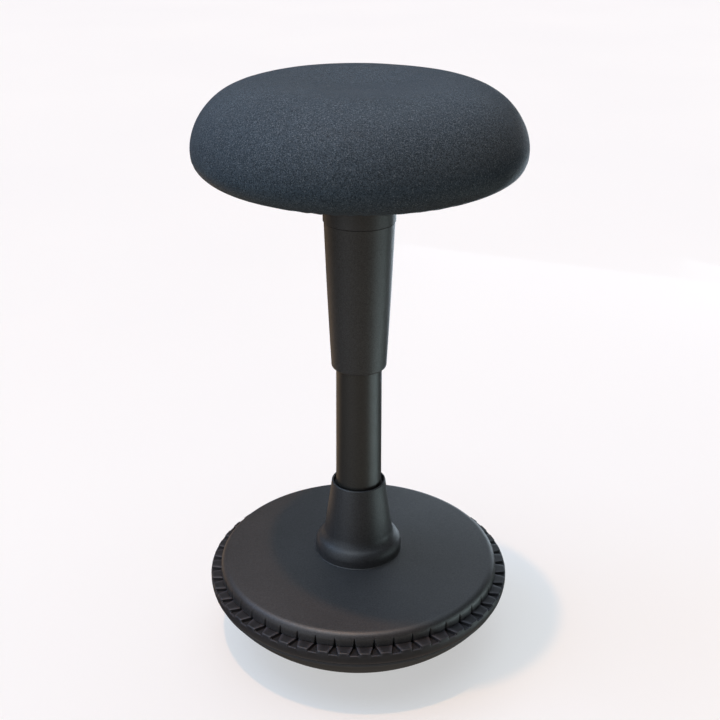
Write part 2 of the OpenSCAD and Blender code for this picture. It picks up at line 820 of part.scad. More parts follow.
module bolt_washers() {
    color("#b4b7ba") at_mount_bolts()
        tube(washer_r, bolt_r + face_gap, washer_t - groove_gap, plate_z - washer_t);
}

module under_cover() {
    color("#202123") difference() {
        union() {
            tube(under_cover_out_r, under_cover_in_r, under_cover_t, under_cover_z);
            at_under_screws() translate([0, 0, under_cover_z + over])
                cylinder(r = under_post_r, h = board_z - face_gap - under_cover_z - over);
        }
        tube(staple_circle_r + staple_groove_half, staple_circle_r - staple_groove_half,
             staple_groove_h + over, under_cover_z + under_cover_t - staple_groove_h);
        at_under_screws() translate([0, 0, under_cover_z - over])
            cylinder(r = under_screw_r + hole_gap, h = board_z - under_cover_z + over);
    }
}

module at_under_screws() {
    ring_of(under_screw_count, under_screw_circle_r) children();
}

module under_cover_screws() {
    head_z = under_cover_z - under_screw_head_h - groove_gap;
    color("#8d9093") at_under_screws() translate([0, 0, head_z]) union() {
        cylinder(r = under_screw_head_r, h = under_screw_head_h);
        cylinder(r = under_screw_r, h = board_z + under_screw_depth - over - head_z);
    }
}

module seat_board() {
    color("#b08d5e") difference() {
        translate([0, 0, board_z]) cylinder(r = board_r, h = board_t);
        at_mount_bolts() translate([0, 0, board_z]) {
            translate([0, 0, -over]) cylinder(r = t_nut_barrel_r + fit_gap, h = board_t + 2 * over);
            translate([0, 0, board_t - t_nut_flange_t - 2 * face_gap])
                cylinder(r = t_nut_flange_r + hole_gap, h = t_nut_flange_t + over);
        }
        at_under_screws() translate([0, 0, board_z - over])
            cylinder(r = under_screw_r + fit_gap, h = under_screw_depth + over);
    }
}

module t_nuts() {
    color("#b4b7ba") at_mount_bolts() translate([0, 0, board_z + board_t - face_gap]) difference() {
        union() {
            translate([0, 0, -t_nut_flange_t]) cylinder(r = t_nut_flange_r, h = t_nut_flange_t);
            translate([0, 0, -t_nut_barrel_h]) cylinder(r = t_nut_barrel_r, h = t_nut_barrel_h);
        }
        translate([0, 0, -t_nut_barrel_h - over])
            cylinder(r = bolt_r + fit_gap, h = t_nut_barrel_h + 2 * over);
    }
}

module cover_staples() {
    crown_z = belly_height(staple_circle_r, 0) - staple_wire - groove_gap;
    color("#a9acaf") ring_of(staple_count, staple_circle_r, staple_first)
        translate([-staple_wire / 2, 0, crown_z]) union() {
            translate([0, -staple_w / 2, 0]) cube([staple_wire, staple_w, staple_wire]);
            for (side = [-1, 1])
                translate([0, side * (staple_w - staple_wire) / 2 - staple_wire / 2, 0])
                    cube([staple_wire, staple_wire, staple_leg]);
        }
}

module seat_foam() {
    g = cover_t + foam_gap;
    inner_r = board_r + hole_gap;
    top_z = board_z + board_t + foam_gap;
    color("#d9d3bd") rotate_extrude() polygon(concat(
        crown_outline(g),
        belly_outline(g, board_r + foam_lip),
        [[inner_r, belly_height(board_r + foam_lip, g) + over], [inner_r, top_z], [0, top_z]]));
}

module seat_cover() {
    color("#3d444d") rotate_extrude() polygon(concat(
        crown_outline(0), belly_outline(0, cover_hem_r),
        reversed(belly_outline(cover_t, cover_hem_r)), reversed(crown_outline(cover_t))));
}

rocker_foot();
base_weight();
weight_bolts();
weight_nuts();
base_plate();
hub_socket();
hub_ribs();
tread_ring();
base_cover();
foot_screws();
neck_seal();
column_tube();
column_end_plate();
guide_bush();
bearing_lower_washer();
bearing_balls();
bearing_cage();
bearing_upper_washer();
travel_buffer();
rod_clip();
piston_rod();
piston();
piston_seal();
pressure_cylinder();
rod_guide();
rod_seal();
valve_body();
valve_pin();
taper_socket();
lift_housing();
lever_pin();
release_lever();
lever_grip();
upper_sleeve();
sleeve_screws();
collar();
mount_plate();
mount_bolts();
bolt_washers();
under_cover();
under_cover_screws();
seat_board();
t_nuts();
cover_staples();
seat_foam();
seat_cover();
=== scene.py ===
"""Looks of the wobble stool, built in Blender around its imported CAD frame."""
import json
import math

import bmesh
import bpy
import numpy as np
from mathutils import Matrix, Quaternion, Vector, noise


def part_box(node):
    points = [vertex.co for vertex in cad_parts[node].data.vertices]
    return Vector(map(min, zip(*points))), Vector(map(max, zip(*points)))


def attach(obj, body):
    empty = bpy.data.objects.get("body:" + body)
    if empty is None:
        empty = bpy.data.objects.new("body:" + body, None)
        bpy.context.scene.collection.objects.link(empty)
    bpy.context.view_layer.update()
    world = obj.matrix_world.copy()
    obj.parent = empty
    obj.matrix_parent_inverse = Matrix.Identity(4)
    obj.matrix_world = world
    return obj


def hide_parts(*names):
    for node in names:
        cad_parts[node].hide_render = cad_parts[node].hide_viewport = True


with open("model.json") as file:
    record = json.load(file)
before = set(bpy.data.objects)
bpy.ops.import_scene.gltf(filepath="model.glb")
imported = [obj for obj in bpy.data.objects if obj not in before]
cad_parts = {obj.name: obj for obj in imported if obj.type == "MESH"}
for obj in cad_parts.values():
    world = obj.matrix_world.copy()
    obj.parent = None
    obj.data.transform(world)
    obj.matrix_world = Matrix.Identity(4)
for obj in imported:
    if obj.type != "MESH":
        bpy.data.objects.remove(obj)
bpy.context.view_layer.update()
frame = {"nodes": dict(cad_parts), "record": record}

MM = 0.001
NODES = frame["nodes"]
MERGE_DIST = 0.004 * MM          # points closer than this are one point
SLIVER = 0.001 * MM              # edges shorter than this are taken out
ON_AXIS = 1e-7                   # an outline point nearer the axis than this is a pole


def top(node):
    """Height of a CAD node's highest point."""
    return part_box(node)[1].z


def bottom(node):
    """Height of a CAD node's lowest point."""
    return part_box(node)[0].z


def reach(node):
    """How far a round CAD node reaches along X."""
    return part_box(node)[1].x


# ---------------------------------------------------------------- mesh helpers

def arc(centre, radius, start, end, steps):
    """Points of an arc in the (r, z) plane, angles in degrees."""
    turns = np.radians(np.linspace(start, end, steps + 1))
    return [(centre[0] + radius * math.cos(a), centre[1] + radius * math.sin(a)) for a in turns]


def smooth(s):
    """Smooth step from 0 to 1."""
    s = min(1.0, max(0.0, s))
    return s * s * (3 - 2 * s)


def mesh_object(name, verts, faces, sharp_angle=40.0):
    """A finished piece from points and faces."""
    data = bpy.data.meshes.new(name)
    data.from_pydata([tuple(v) for v in verts], [], faces)
    data.validate()
    piece = bpy.data.objects.new(name, data)
    bpy.context.scene.collection.objects.link(piece)
    finish_mesh(piece, sharp_angle)
    return piece


def finish_mesh(piece, sharp_angle=40.0):
    """Turns the faces outward, merges doubled points and sets smooth shading with sharp creases."""
    build = bmesh.new()
    build.from_mesh(piece.data)
    bmesh.ops.remove_doubles(build, verts=build.verts, dist=MERGE_DIST)
    bmesh.ops.dissolve_degenerate(build, dist=SLIVER, edges=build.edges)
    bmesh.ops.recalc_face_normals(build, faces=build.faces)
    build.to_mesh(piece.data)
    build.free()
    piece.data.shade_smooth()
    piece.data.set_sharp_from_angle(angle=math.radians(sharp_angle))


def lathe(name, outline, segments=256):
    """A solid of revolution from a closed outline of (r, z) points."""
    verts, rings = [], []
    for r, z in outline:
        if r < ON_AXIS:
            rings.append([len(verts)] * segments)
            verts.append((0.0, 0.0, z))
            continue
        rings.append(list(range(len(verts), len(verts) + segments)))
        for k in range(segments):
            a = 2 * math.pi * k / segments
            verts.append((r * math.cos(a), r * math.sin(a), z))
    faces = []
    for i, ring in enumerate(rings):
        after = rings[(i + 1) % len(rings)]
        for k in range(segments):
            n = (k + 1) % segments
            corners = [ring[k], ring[n], after[n], after[k]]
            kept = [c for j, c in enumerate(corners) if c != corners[j - 1]]
            if len(kept) > 2:
                faces.append(kept)
    return mesh_object(name, verts, faces)


def apply_modifiers(piece):
    """Puts the result of a piece's modifiers into its mesh."""
    graph = bpy.context.evaluated_depsgraph_get()
    data = bpy.data.meshes.new_from_object(piece.evaluated_get(graph))
    piece.modifiers.clear()
    piece.data = data


# ---------------------------------------------------------------- material helpers

class Shader:
    """A node material with a Principled shader, and short calls for its nodes."""

    def __init__(self, name):
        self.material = bpy.data.materials.new(name)
        self.material.use_nodes = True
        self.tree = self.material.node_tree
        self.bsdf = self.tree.nodes["Principled BSDF"]
        self.coords = self.tree.nodes.new("ShaderNodeTexCoord").outputs["Object"]

    def set(self, **values):
        """Sets constants on the shader's own sockets."""
        for key, value in values.items():
            self.bsdf.inputs[key.replace("_", " ").title().replace("Ior", "IOR")].default_value = value
        return self

    def link(self, a, b):
        """Links an output socket to an input socket."""
        self.tree.links.new(a, b)

    def noise(self, scale, detail=3.0, roughness=0.5, stretch=None, distortion=0.0):
        """Value of a noise texture, if asked stretched along the axes."""
        node = self.tree.nodes.new("ShaderNodeTexNoise")
        node.inputs["Scale"].default_value = scale
        node.inputs["Detail"].default_value = detail
        node.inputs["Roughness"].default_value = roughness
        node.inputs["Distortion"].default_value = distortion
        self.link(self.stretched(stretch), node.inputs["Vector"])
        return node.outputs["Fac"]

    def cells(self, scale):
        """Distance from the middle of each cell of a Voronoi texture."""
        node = self.tree.nodes.new("ShaderNodeTexVoronoi")
        node.inputs["Scale"].default_value = scale
        self.link(self.coords, node.inputs["Vector"])
        return node.outputs["Distance"]

    def stretched(self, stretch):
        """Object coordinates, scaled where a stretch is given."""
        if stretch is None:
            return self.coords
        node = self.tree.nodes.new("ShaderNodeMapping")
        node.inputs["Scale"].default_value = stretch
        self.link(self.coords, node.inputs["Vector"])
        return node.outputs["Vector"]

    def ramp(self, value, stops):
        """Colour ramp: stops is a list of (position, grey or colour)."""
        node = self.tree.nodes.new("ShaderNodeValToRGB")
        elements = node.color_ramp.elements
        while len(elements) < len(stops):
            elements.new(0.5)
        for element, (position, colour) in zip(elements, stops):
            element.position = position
            element.color = (*colour, 1.0) if hasattr(colour, "__len__") else (colour, colour, colour, 1.0)
        self.link(value, node.inputs["Fac"])
        return node.outputs["Color"]

    def mix(self, a, b, factor, kind="MIX"):
        """Mixes two colours, each a socket or a colour."""
        node = self.tree.nodes.new("ShaderNodeMix")
        node.data_type = "RGBA"
        node.blend_type = kind
        for socket, value in ((node.inputs[0], factor), (node.inputs[6], a), (node.inputs[7], b)):
            if hasattr(value, "links"):
                self.link(value, socket)
            else:
                socket.default_value = (*value, 1.0) if hasattr(value, "__len__") else value
        return node.outputs[2]

    def pointiness(self):
        """How sharply the mesh turns outwards at a point, for worn edges."""
        return self.tree.nodes.new("ShaderNodeNewGeometry").outputs["Pointiness"]

    def colour(self, socket):
        """Links the base colour."""
        self.link(socket, self.bsdf.inputs["Base Color"])
        return self

    def rough(self, value, low, high):
        """Roughness that varies from low to high with a value socket."""
        node = self.tree.nodes.new("ShaderNodeMapRange")
        node.inputs["To Min"].default_value = low
        node.inputs["To Max"].default_value = high
        self.link(value, node.inputs["Value"])
        self.link(node.outputs["Result"], self.bsdf.inputs["Roughness"])
        return self

    def bump(self, *layers):
        """Stacks bump layers, each (height socket, strength, distance in metres)."""
        normal = None
        for height, strength, distance in layers:
            node = self.tree.nodes.new("ShaderNodeBump")
            node.inputs["Strength"].default_value = strength
            node.inputs["Distance"].default_value = distance
            self.link(height, node.inputs["Height"])
            if normal is not None:
                self.link(normal, node.inputs["Normal"])
            normal = node.outputs["Normal"]
        self.link(normal, self.bsdf.inputs["Normal"])
        return self


def grained_plastic(name, colour, roughness, grain=1500.0, depth=0.08, edge_paling=0.25):
    """Moulded plastic with a fine spark-eroded grain, faint blotches and paler worn edges."""
    s = Shader(name)
    dark = tuple(c * 0.66 for c in colour)
    light = tuple(min(1.0, c * 1.45) for c in colour)
    speckle = s.noise(grain, 2.0, 0.6)
    body = s.mix(dark, light, s.ramp(speckle, [(0.32, 0.0), (0.68, 1.0)]))
    blotch = s.ramp(s.noise(14.0, 3.0, 0.55), [(0.3, 0.88), (0.7, 1.1)])
    body = s.mix(body, blotch, 1.0, "MULTIPLY")
    edge = s.ramp(s.pointiness(), [(0.505, 0.0), (0.56, edge_paling)])
    body = s.mix(body, tuple(min(1.0, c * 2.4) for c in colour), edge)
    s.colour(body)
    s.rough(s.noise(220.0, 3.0, 0.6), roughness - 0.06, roughness + 0.08)
    s.bump((speckle, 0.35, depth * MM), (s.noise(260.0, 2.0), 0.12, 0.06 * MM))
    return s.material


def rubber(name, colour, roughness=0.72, edge_paling=0.45, gloss=0.5):
    """Matt rubber: fine tooth, dusty bloom in patches, faint swirl marks, and paler sharp edges, which are a
    painted highlight where the paling is strong, as on the tread ring.
    """
    s = Shader(name)
    tooth = s.noise(1100.0, 3.0, 0.65)
    body = s.mix(tuple(c * 0.8 for c in colour), tuple(c * 1.3 for c in colour),
                 s.ramp(tooth, [(0.35, 0.0), (0.65, 1.0)]))
    bloom = s.ramp(s.noise(22.0, 4.0, 0.6), [(0.48, 0.0), (0.8, 0.22)])
    body = s.mix(body, tuple(c * 2.1 for c in colour), bloom)
    # Sharp edges are paler: edge wear on the foot and seal, and on the tread ring a painted highlight along
    # the notch and lip edges.
    edge = s.ramp(s.pointiness(), [(0.502, 0.0), (0.55, edge_paling)])
    s.colour(s.mix(body, tuple(c * (2 + 4 * edge_paling) for c in colour), edge))
    s.set(specular_ior_level=gloss)
    s.rough(s.noise(90.0, 3.0), roughness - 0.08, roughness + 0.1)
    s.bump((tooth, 0.4, 0.07 * MM), (s.noise(45.0), 0.15, 0.3 * MM))
    return s.material


def powder_coat(name, colour, roughness=0.42, grain=1300.0):
    """Black powder coat with its fine orange-peel and specks."""
    s = Shader(name)
    peel = s.noise(grain, 2.0, 0.55)
    body = s.mix(tuple(c * 0.8 for c in colour), tuple(c * 1.4 for c in colour),
                 s.ramp(peel, [(0.35, 0.0), (0.68, 1.0)]))
    s.colour(body)
    s.rough(s.noise(150.0, 3.0), roughness - 0.05, roughness + 0.08)
    s.bump((peel, 0.35, 0.05 * MM), (s.noise(320.0, 2.0), 0.15, 0.06 * MM))
    return s.material


def metal(name, colour, roughness, scale=260.0, rust=0.0):
    """Bare metal with drawn or turned lines, smudges and, if asked, dull stains."""
    s = Shader(name)
    s.set(metallic=1.0)
    lines = s.noise(scale, 4.0, 0.65, (1.0, 1.0, 12.0))
    body = s.mix(tuple(c * 0.82 for c in colour), colour, s.ramp(lines, [(0.3, 0.0), (0.7, 1.0)]))
    stain = s.ramp(s.noise(38.0, 5.0, 0.6), [(0.5, 0.0), (0.75, rust)])
    s.colour(s.mix(body, tuple(c * 0.45 for c in colour), stain))
    s.rough(lines, roughness, roughness + 0.16)
    s.bump((lines, 0.12, 0.03 * MM))
    return s.material


def cast_iron(name, colour):
    """As-cast iron: pitted, sandy and dull."""
    s = Shader(name)
    s.set(metallic=0.6)
    sand = s.noise(420.0, 5.0, 0.7)
    pits = s.cells(160.0)
    body = s.mix(tuple(c * 0.6 for c in colour), tuple(c * 1.7 for c in colour),
                 s.ramp(sand, [(0.3, 0.0), (0.7, 1.0)]))
    s.colour(body)
    s.rough(sand, 0.6, 0.85)
    s.bump((sand, 0.6, 0.3 * MM), (pits, 0.3, 0.4 * MM))
    return s.material


def plywood(name, colour):
    """Birch-like face veneer with long grain, pores and darker glue lines on the edge."""
    s = Shader(name)
    grain = s.noise(9.0, 6.0, 0.62, (22.0, 1.2, 22.0), 0.6)
    pores = s.noise(60.0, 3.0, 0.6, (14.0, 0.8, 6.0))
    body = s.mix(tuple(c * 0.62 for c in colour), tuple(min(1.0, c * 1.25) for c in colour),
                 s.ramp(grain, [(0.3, 0.0), (0.7, 1.0)]))
    body = s.mix(body, tuple(c * 0.35 for c in colour), s.ramp(pores, [(0.62, 0.0), (0.8, 0.5)]))
    wave = s.tree.nodes.new("ShaderNodeTexWave")
    wave.bands_direction = "Z"
    wave.inputs["Scale"].default_value = 105.0
    s.link(s.coords, wave.inputs["Vector"])
    glue_lines = s.ramp(wave.outputs["Fac"], [(0.0, 0.25), (0.35, 0.0)])
    s.colour(s.mix(body, tuple(c * 0.5 for c in colour), glue_lines))
    s.rough(grain, 0.5, 0.7)
    s.bump((grain, 0.2, 0.12 * MM))
    return s.material


def foam(name, colour):
    """Open-cell polyurethane foam."""
    s = Shader(name)
    cells = s.cells(900.0)
    patch = s.noise(30.0, 4.0, 0.6)
    body = s.mix(tuple(c * 0.7 for c in colour), colour, s.ramp(cells, [(0.05, 0.0), (0.5, 1.0)]))
    s.colour(s.mix(body, tuple(c * 0.85 for c in colour), s.ramp(patch, [(0.4, 0.0), (0.7, 1.0)])))
    s.rough(cells, 0.85, 1.0)
    s.bump((cells, 0.6, 0.3 * MM))
    return s.material


def knit_fabric(name):
    """Fine slate-blue marled knit: two yarn tones, loops in rows, light fibre specks and a soft sheen."""
    s = Shader(name)
    dark, mid, pale = (0.030, 0.042, 0.053), (0.072, 0.097, 0.121), (0.170, 0.208, 0.238)
    marl = s.noise(800.0, 2.0, 0.8)
    yarn = s.noise(940.0, 2.0, 0.6)
    body = s.mix(dark, mid, s.ramp(marl, [(0.42, 0.0), (0.57, 1.0)]))
    specks = s.ramp(yarn, [(0.57, 0.0), (0.69, 0.9)])
    body = s.mix(body, pale, specks)
    mottle = s.ramp(s.noise(300.0, 2.0, 0.6), [(0.36, 0.88), (0.64, 1.12)])
    broad = s.ramp(s.noise(9.0, 3.0, 0.5), [(0.3, 0.93), (0.7, 1.07)])
    s.colour(s.mix(s.mix(body, mottle, 1.0, "MULTIPLY"), broad, 1.0, "MULTIPLY"))
    loops = s.cells(620.0)
    s.rough(marl, 0.42, 0.52)
    s.set(sheen_weight=0.03, sheen_roughness=0.5, sheen_tint=(0.75, 0.86, 1.0, 1.0), specular_ior_level=0.02)
    s.bump((loops, 0.45, 0.35 * MM), (marl, 0.35, 0.25 * MM), (s.noise(70.0, 2.0), 0.08, 0.5 * MM))
    return s.material


MATERIALS = {
    "foot_rubber": rubber("foot_rubber", (0.020, 0.021, 0.024)),
    # The tread ring's edges are painted much lighter: a painted highlight standing in for glints along its
    # notch and lip edges.
    "tread_rubber": rubber("tread_rubber", (0.011, 0.011, 0.013), 0.48, 0.9, 0.32),
    "seal_rubber": rubber("seal_rubber", (0.010, 0.010, 0.011), 0.6),
    "cast_iron": cast_iron("cast_iron", (0.10, 0.10, 0.105)),
    "black_steel": powder_coat("black_steel", (0.022, 0.023, 0.025)),
    "zinc_steel": metal("zinc_steel", (0.60, 0.61, 0.62), 0.3, rust=0.4),
    "bearing_steel": metal("bearing_steel", (0.66, 0.66, 0.67), 0.14),
    "column_paint": powder_coat("column_paint", (0.022, 0.0205, 0.018), 0.42, 760.0),
    "chrome": metal("chrome", (0.80, 0.81, 0.82), 0.06, scale=90.0),
    "brass": metal("brass", (0.72, 0.52, 0.22), 0.25),
    "aluminium": metal("aluminium", (0.76, 0.77, 0.78), 0.28),
    "base_plastic": grained_plastic("base_plastic", (0.0255, 0.0245, 0.0255), 0.48, 640.0, 0.14),
    "sleeve_plastic": grained_plastic("sleeve_plastic", (0.030, 0.030, 0.030), 0.48, 700.0, 0.10, 0.15),
    "natural_plastic": grained_plastic("natural_plastic", (0.62, 0.60, 0.52), 0.45, 900.0, 0.03, 0.0),
    "grip_plastic": grained_plastic("grip_plastic", (0.016, 0.016, 0.017), 0.5),
    "plywood": plywood("plywood", (0.56, 0.40, 0.23)),
    "foam": foam("foam", (0.78, 0.72, 0.56)),
    "seat_fabric": knit_fabric("seat_fabric"),
}


def dress(piece, slot_name):
    """Gives a piece the material of one of the record's slots."""
    piece.data.materials.clear()
    piece.data.materials.append(MATERIALS[slot_name])


for part in frame["record"]["subparts"]:
    dress(NODES[part["node"]], part["material_slot"])


# ---------------------------------------------------------------- base

RIM_R = reach("tread_ring")
LEDGE_Z = top("tread_ring")
RING_Z = bottom("tread_ring")
NOTCHES = 48
NOTCH_PHASE = math.radians(6.2)
NOTCH_APEX_R = 158.3 * MM        # a notch's point, at the height of the ledge
NOTCH_SLOPE = math.tan(math.radians(18.7))
NOTCH_LEAN = math.radians(19.4)
NOTCH_LIP_Z = LEDGE_Z - 2.6 * MM
NOTCH_LIP_R = RIM_R - 1.8 * MM
NOTCH_FLOOR_Z = LEDGE_Z - 3.4 * MM
NOTCH_DRAFT = 1.1 * MM           # how far each side of a notch leans in towards its floor,
NOTCH_FOOT_MIN = 0.6             # but never past this share of its half-width
NOTCH_HAIR = 0.02 * MM           # half-width of a notch's columns where there is no notch
EDGE = 1.0 * MM                  # the small round that every moulded edge has
RING_IN_R = 150 * MM             # bore of the tread ring
RING_STEP_R = 171 * MM           # inside this radius the ring's underside is lower, down on the foot's rim
FAN_R = 135 * MM                 # inside this radius a notched ring's columns are evenly spaced


def apex_r(z):
    """Radius of a notch's point at height z; it leans outwards as it rises."""
    return NOTCH_APEX_R + (z - LEDGE_Z) * math.tan(NOTCH_LEAN)


def notch_angle(r, z):
    """Half-angle of a notch at radius r and height z; a hair wide where there is none."""
    along = (r - NOTCH_APEX_R) * math.cos(NOTCH_LEAN) - (z - LEDGE_Z) * math.sin(NOTCH_LEAN)
    return max(NOTCH_HAIR, along * NOTCH_SLOPE) / r


def notched(name, path_at, pitch_steps):
    """A ring whose outline changes round each notch.

    path_at(kind) gives the outline for "land", "lip" and "floor"; all have the same length.
    Each pitch has stations from one notch's middle to the next. "foot" is the floor at the foot of a notch's
    side, drawn in by the draft, and "rise" lies on the round between a notch's lip and the land.
    """
    pitch = 2 * math.pi / NOTCHES
    kinds = {k: path_at(k) for k in ("land", "lip", "floor")}
    kinds["foot"] = kinds["floor"]
    rows = len(kinds["land"])
    half_pitch = [("floor", 0.0, 0.0), ("floor", 0.5, 0.0), ("foot", 1.0, 0.0),
                  ("lip", 1.0, 0.0), ("rise", 1.0, 0.3 * EDGE), ("land", 1.0, EDGE)]
    kinds["rise"] = [((a[0] + 2 * b[0]) / 3, a[1] * 0.25 + b[1] * 0.75)
                     for a, b in zip(kinds["lip"], kinds["land"])]
    across = half_pitch + [("land", step / pitch_steps, None) for step in range(1, pitch_steps)]
    across += [(k, -s, e) for k, s, e in half_pitch[:0:-1]]
    stations = len(across)
    verts = []
    for n in range(NOTCHES):
        centre = NOTCH_PHASE + n * pitch
        for station, (kind, share, extra) in enumerate(across):
            for r, z in kinds[kind]:
                half = notch_angle(r, z)
                side = half if kind != "foot" else max(NOTCH_FOOT_MIN * half, half - NOTCH_DRAFT / r)
                if extra is None:
                    angle = half + EDGE / r + (pitch - 2 * half - 2 * EDGE / r) * share
                elif share >= 0:
                    angle = share * side + extra / r
                else:
                    angle = pitch + share * side - extra / r
                near = smooth((r - FAN_R) / (NOTCH_APEX_R - 2 * MM - FAN_R))
                angle = near * angle + (1 - near) * pitch * station / stations
                verts.append((r * math.cos(centre + angle), r * math.sin(centre + angle), z))
    columns = len(verts) // rows
    faces = []
    for c in range(columns):
        d = (c + 1) % columns
        for i in range(rows):
            k = (i + 1) % rows
            faces.append((c * rows + i, d * rows + i, d * rows + k, c * rows + k))
    return mesh_object(name, verts, faces, 50.0)


def ring_outline(kind):
    """Outline of the tread ring over a land, at a notch's edge and in a notch."""
    inside = {"land": LEDGE_Z, "lip": LEDGE_Z - EDGE, "floor": NOTCH_FLOOR_Z}[kind]
    outside = {"land": LEDGE_Z, "lip": LEDGE_Z - EDGE, "floor": NOTCH_LIP_Z}[kind]
    start_r = apex_r(inside) if kind == "floor" else NOTCH_APEX_R
    radii = np.linspace(start_r, NOTCH_LIP_R - 0.3 * MM, 9)
    face = [(start_r - 0.5 * MM, LEDGE_Z - 0.05 * MM)] + [(r, inside) for r in radii]
    if kind == "floor":
        face += [(NOTCH_LIP_R, inside + 0.4 * MM), (NOTCH_LIP_R, outside - 0.3 * MM)]
        face += [(NOTCH_LIP_R + 0.3 * MM, outside), (RIM_R - 0.7 * MM, outside)]
        face += arc((RIM_R - 0.6 * MM, outside - 0.6 * MM), 0.6 * MM, 75, 0, 3)
    else:
        shift = 0.0 if kind == "land" else EDGE
        corner = 1.3 * MM
        face += [(NOTCH_LIP_R, outside), (NOTCH_LIP_R + 0.1 * MM, outside)]
        face += arc((RIM_R - 0.7 * MM - corner - shift, outside - corner), corner, 85, 8, 4)
        face += [(RIM_R - 0.3 * MM, NOTCH_LIP_Z)]
    below = [(RIM_R, NOTCH_LIP_Z - 1.4 * MM), (RIM_R, RING_Z + 8.9 * MM),
             (RIM_R - 0.5 * MM, RING_Z + 5.5 * MM), (RIM_R - 1.3 * MM, RING_Z + 2.6 * MM),
             (RIM_R - 1.9 * MM, RING_Z + 1.9 * MM), (RING_STEP_R + 0.4 * MM, RING_Z + 1.9 * MM),
             (RING_STEP_R, RING_Z + 1.5 * MM), (RING_STEP_R, RING_Z),
             (RING_IN_R, RING_Z), (RING_IN_R, LEDGE_Z - 0.1 * MM)]
    return face + below


def make_tread_ring():
    """The rubber ring round the base, with its notches."""
    piece = notched("tread_ring_moulding", ring_outline, 5)
    dress(piece, "tread_rubber")
    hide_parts("tread_ring")
    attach(piece, "base")


make_tread_ring()

# The base cover: neck, foot flange, disc and shoulder. It follows the CAD's outline, but the blend between
# the flange and the disc is tighter, and the notches have a small round along their edges.
NECK_Z = 197 * MM
NECK_R = 31.1 * MM
NECK_ANGLE = 7.9                 # degrees from the upright
SHELL = 2.6 * MM
FLANGE_ROUND = 15.6 * MM
FLANGE_FILLET = 18.3 * MM
FLANGE_SLOPE = 42.0              # degrees, where the fillet meets the round
FLANGE_R = 50.6 * MM
FLANGE_C = (FLANGE_R - FLANGE_ROUND, 113.4 * MM)
FILLET_C = (FLANGE_C[0] + (FLANGE_ROUND + FLANGE_FILLET) * math.sin(math.radians(FLANGE_SLOPE)),
            FLANGE_C[1] + (FLANGE_ROUND + FLANGE_FILLET) * math.cos(math.radians(FLANGE_SLOPE)))
DISC_BLEND = 1 * MM
DISC_SLOPE = 3.7                 # degrees
DISC_C = (FLANGE_R + DISC_BLEND, 106.8 * MM + DISC_BLEND)
SHOULDER_R = 9 * MM
SHOULDER_C = (163.2 * MM - SHOULDER_R, 91.3 * MM)
WALL_FOOT = (163.5 * MM, LEDGE_Z + 0.1 * MM)
WALL_T = 6 * MM


def cover_side(t, fine):
    """From the neck's rim down to the shoulder, t inside the outer surface."""
    return ([(NECK_R - t, NECK_Z)]
            + arc(FILLET_C, FLANGE_FILLET + t, 180 + NECK_ANGLE, 270 - FLANGE_SLOPE, 4 * fine)
            + arc(FLANGE_C, FLANGE_ROUND - t, 90 - FLANGE_SLOPE, 0, 4 * fine)
            + arc(DISC_C, DISC_BLEND + t, 180, 270 - DISC_SLOPE, 3 * fine))


def cover_outline(kind):
    """Outline of the base cover over a land, at a notch's edge and in a notch."""
    outer = cover_side(0.0, 3)[1:]
    disc_start = outer[-1]
    shoulder = arc(SHOULDER_C, SHOULDER_R, 90 - DISC_SLOPE, 0, 22)
    disc = [tuple(np.array(disc_start) + (np.array(shoulder[0]) - disc_start) * k / 6) for k in range(1, 6)]
    wall = [tuple(np.array(shoulder[-1]) + (np.array(WALL_FOOT) - shoulder[-1]) * k / 5) for k in range(1, 5)]
    foot = [(WALL_FOOT[0], WALL_FOOT[1] + 0.8 * MM), (WALL_FOOT[0] - 0.2 * MM, WALL_FOOT[1] + 0.3 * MM),
            (WALL_FOOT[0] - 0.8 * MM, WALL_FOOT[1])]
    face = shoulder + wall + foot
    if kind == "floor":
        face = [(min(r, apex_r(z)), z) for r, z in face]
    elif kind == "lip":
        face = [(r - 0.4 * EDGE if r > apex_r(z) + EDGE else r, z) for r, z in face]
    rim = arc((NECK_R - SHELL / 2, NECK_Z), SHELL / 2, 170, 10, 8)
    inner = [p for p in cover_side(SHELL, 2) if p[0] < WALL_FOOT[0] - WALL_T][1:]
    under = [(SHOULDER_C[0] + 3 * MM, SHOULDER_C[1] + 5.2 * MM),
             (SHOULDER_C[0] + 3.6 * MM, WALL_FOOT[1] + 2 * MM),
             (NOTCH_APEX_R - 0.8 * MM, WALL_FOOT[1])]
    return rim + outer + disc + face + under[::-1] + inner[::-1]


def make_base_cover():
    """The moulded cover over the weight, with its neck and its notched shoulder."""
    piece = notched("base_cover_moulding", cover_outline, 5)
    dress(piece, "base_plastic")
    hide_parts("base_cover")
    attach(piece, "base")


make_base_cover()

FOOT_FLAT_R = 45 * MM            # the small flat that the stool stands on
DOME_R = 400 * MM
DOME_EDGE = 13.0                 # degrees, slope where the dome meets the flank
FLANK_TOP = 57.0                 # degrees, slope at the top of the flank
FOOT_R = 170 * MM
FOOT_T = 8 * MM
FOOT_LIP_R = 152 * MM            # inside of the foot's rim
FOOT_SEAT_R = 146 * MM           # inside of the step that the base plate lies on
FOOT_SEAT_Z = 62 * MM
SINK_COUNT = 6
SINK_CIRCLE_R = 120 * MM
SINK_FIRST = 15                  # degrees from the X axis
SINK_R = 6 * MM
SINK_DEPTH = 40 * MM             # length of the cutter, more than the foot's thickness
SINK_MID_Z = 10 * MM


